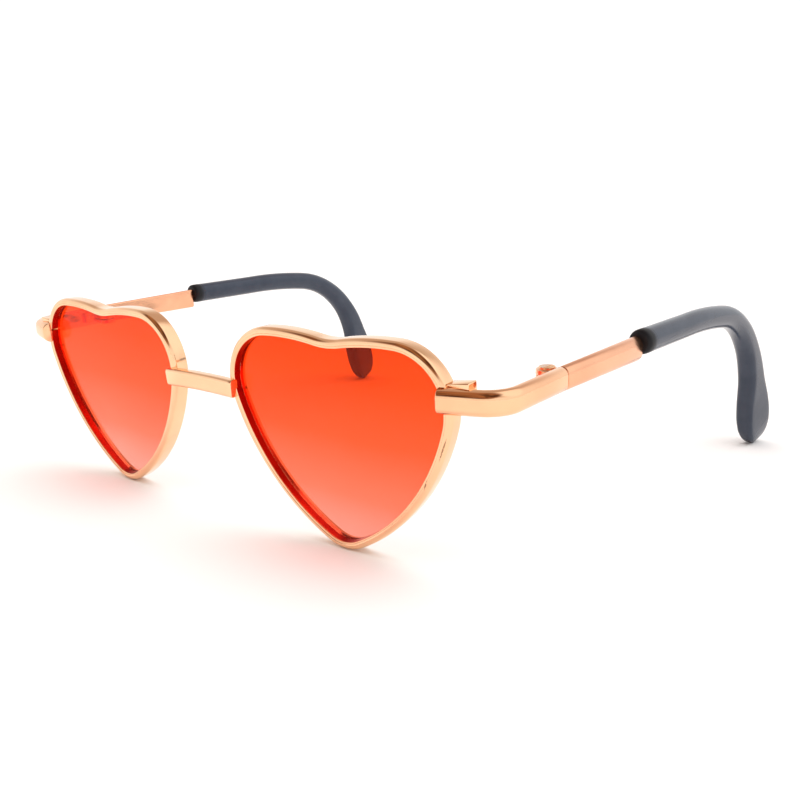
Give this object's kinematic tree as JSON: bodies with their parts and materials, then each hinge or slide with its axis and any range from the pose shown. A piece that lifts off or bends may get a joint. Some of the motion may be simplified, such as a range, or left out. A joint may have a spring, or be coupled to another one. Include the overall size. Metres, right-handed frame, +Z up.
{
  "type": "heart shaped sunglasses",
  "caption": "Small gold metal sunglasses with tinted heart shaped lenses, a slim bridge, folding temples on barrel hinges and curved black ear tips.",
  "frame": {"origin": "bottom centre of the overall box: midway between the temples and halfway back, on the floor that the heart tips and the temple tips stand on", "axes": "+X to the right as seen from the front, +Y from the lenses back to the temple tips, +Z up"},
  "size_m": [0.0868, 0.0806, 0.0253],
  "materials": {
    "gold": "polished rose gold plate",
    "screw": "plain turned gold plate",
    "lens": "clear, tinted orange red above and paler pink below",
    "tip": "glossy black"
  },
  "bodies": {
    "front": {"bridge": "gold", "right_rim": "gold", "right_lens": "lens", "right_endpiece": "gold", "right_rim_lock_upper": "gold", "right_rim_lock_lower": "gold", "right_rim_lock_screw": "screw", "right_hinge_front_leaf": "gold", "right_hinge_screw": "screw", "left_rim": "gold", "left_lens": "lens", "left_endpiece": "gold", "left_rim_lock_upper": "gold", "left_rim_lock_lower": "gold", "left_rim_lock_screw": "screw", "left_hinge_front_leaf": "gold", "left_hinge_screw": "screw"},
    "right_temple": {"right_temple_bar": "gold", "right_temple_tip": "tip", "right_hinge_temple_leaf": "gold"},
    "left_temple": {"left_temple_bar": "gold", "left_temple_tip": "tip", "left_hinge_temple_leaf": "gold"}
  },
  "joints": [
    {"name": "right_temple_fold", "type": "hinge", "parent": "front", "child": "right_temple", "pos_m": [0.03965, -0.02573, 0.02052], "axis": [0, -0.0592, 0.9982], "range_deg": [0, 86]},
    {"name": "left_temple_fold", "type": "hinge", "parent": "front", "child": "left_temple", "pos_m": [-0.03965, -0.02573, 0.02052], "axis": [0, 0.0592, -0.9982], "range_deg": [0, 93]}
  ]
}
